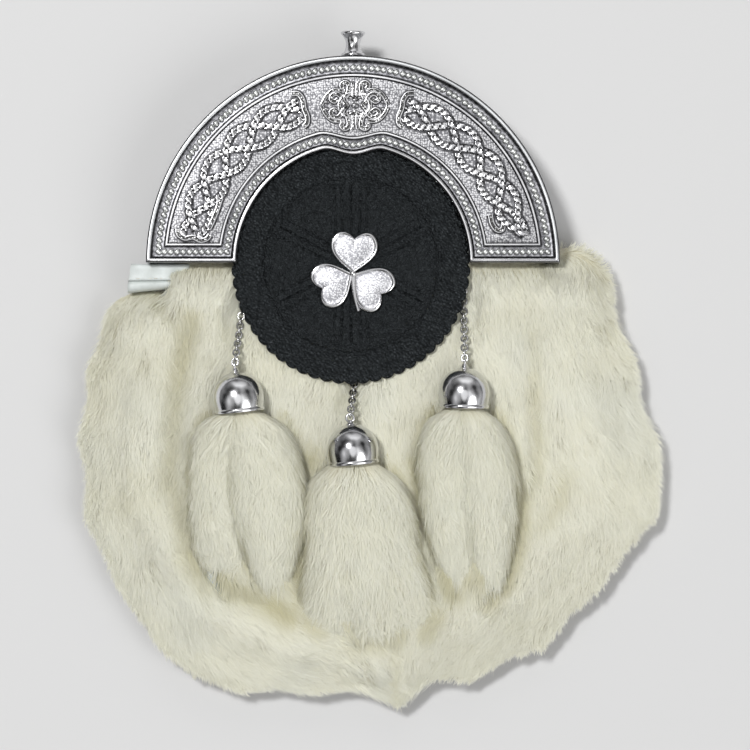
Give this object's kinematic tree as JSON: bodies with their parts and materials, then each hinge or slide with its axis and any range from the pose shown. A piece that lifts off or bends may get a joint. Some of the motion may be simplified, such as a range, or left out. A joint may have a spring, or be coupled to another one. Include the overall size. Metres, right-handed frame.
{
  "type": "dress sporran pouch",
  "caption": "Full-dress fur sporran: cast metal cantle with knotwork, round leather flap with a trefoil badge, chains, domed caps and fur tassels, lying on its back.",
  "frame": {"origin": "centre of the flat patch of the belly that the pouch rests on, at the surface", "axes": "+X across the pouch to the right as seen from the front, +Y up towards the clasp knob, +Z out of the front"},
  "size_m": [0.2042, 0.2385, 0.0371],
  "materials": {
    "white_leather": "smooth white leather, satin",
    "black_leather": "pebbled black leather, satin",
    "rabbit_fur": "cream-white rabbit fur, soft and matte",
    "cast_metal": "bright plated casting with a stippled ground",
    "polished_metal": "mirror-bright plated metal"
  },
  "bodies": {
    "root": {"pouch_body": "white_leather", "back_panel": "black_leather", "keeper_left": "black_leather", "keeper_right": "black_leather", "gusset_end": "white_leather", "fur_coat": "rabbit_fur", "cantle": "cast_metal", "back_frame": "polished_metal", "hinge_left": "polished_metal", "hinge_right": "polished_metal", "clasp_knob": "polished_metal", "flap": "black_leather", "shamrock": "cast_metal", "staple_left": "polished_metal", "staple_middle": "polished_metal", "staple_right": "polished_metal", "chain_left": "polished_metal", "chain_middle": "polished_metal", "chain_right": "polished_metal", "cap_left": "polished_metal", "cap_middle": "polished_metal", "cap_right": "polished_metal", "tassel_left": "rabbit_fur", "tassel_middle": "rabbit_fur", "tassel_right": "rabbit_fur"}
  },
  "joints": []
}
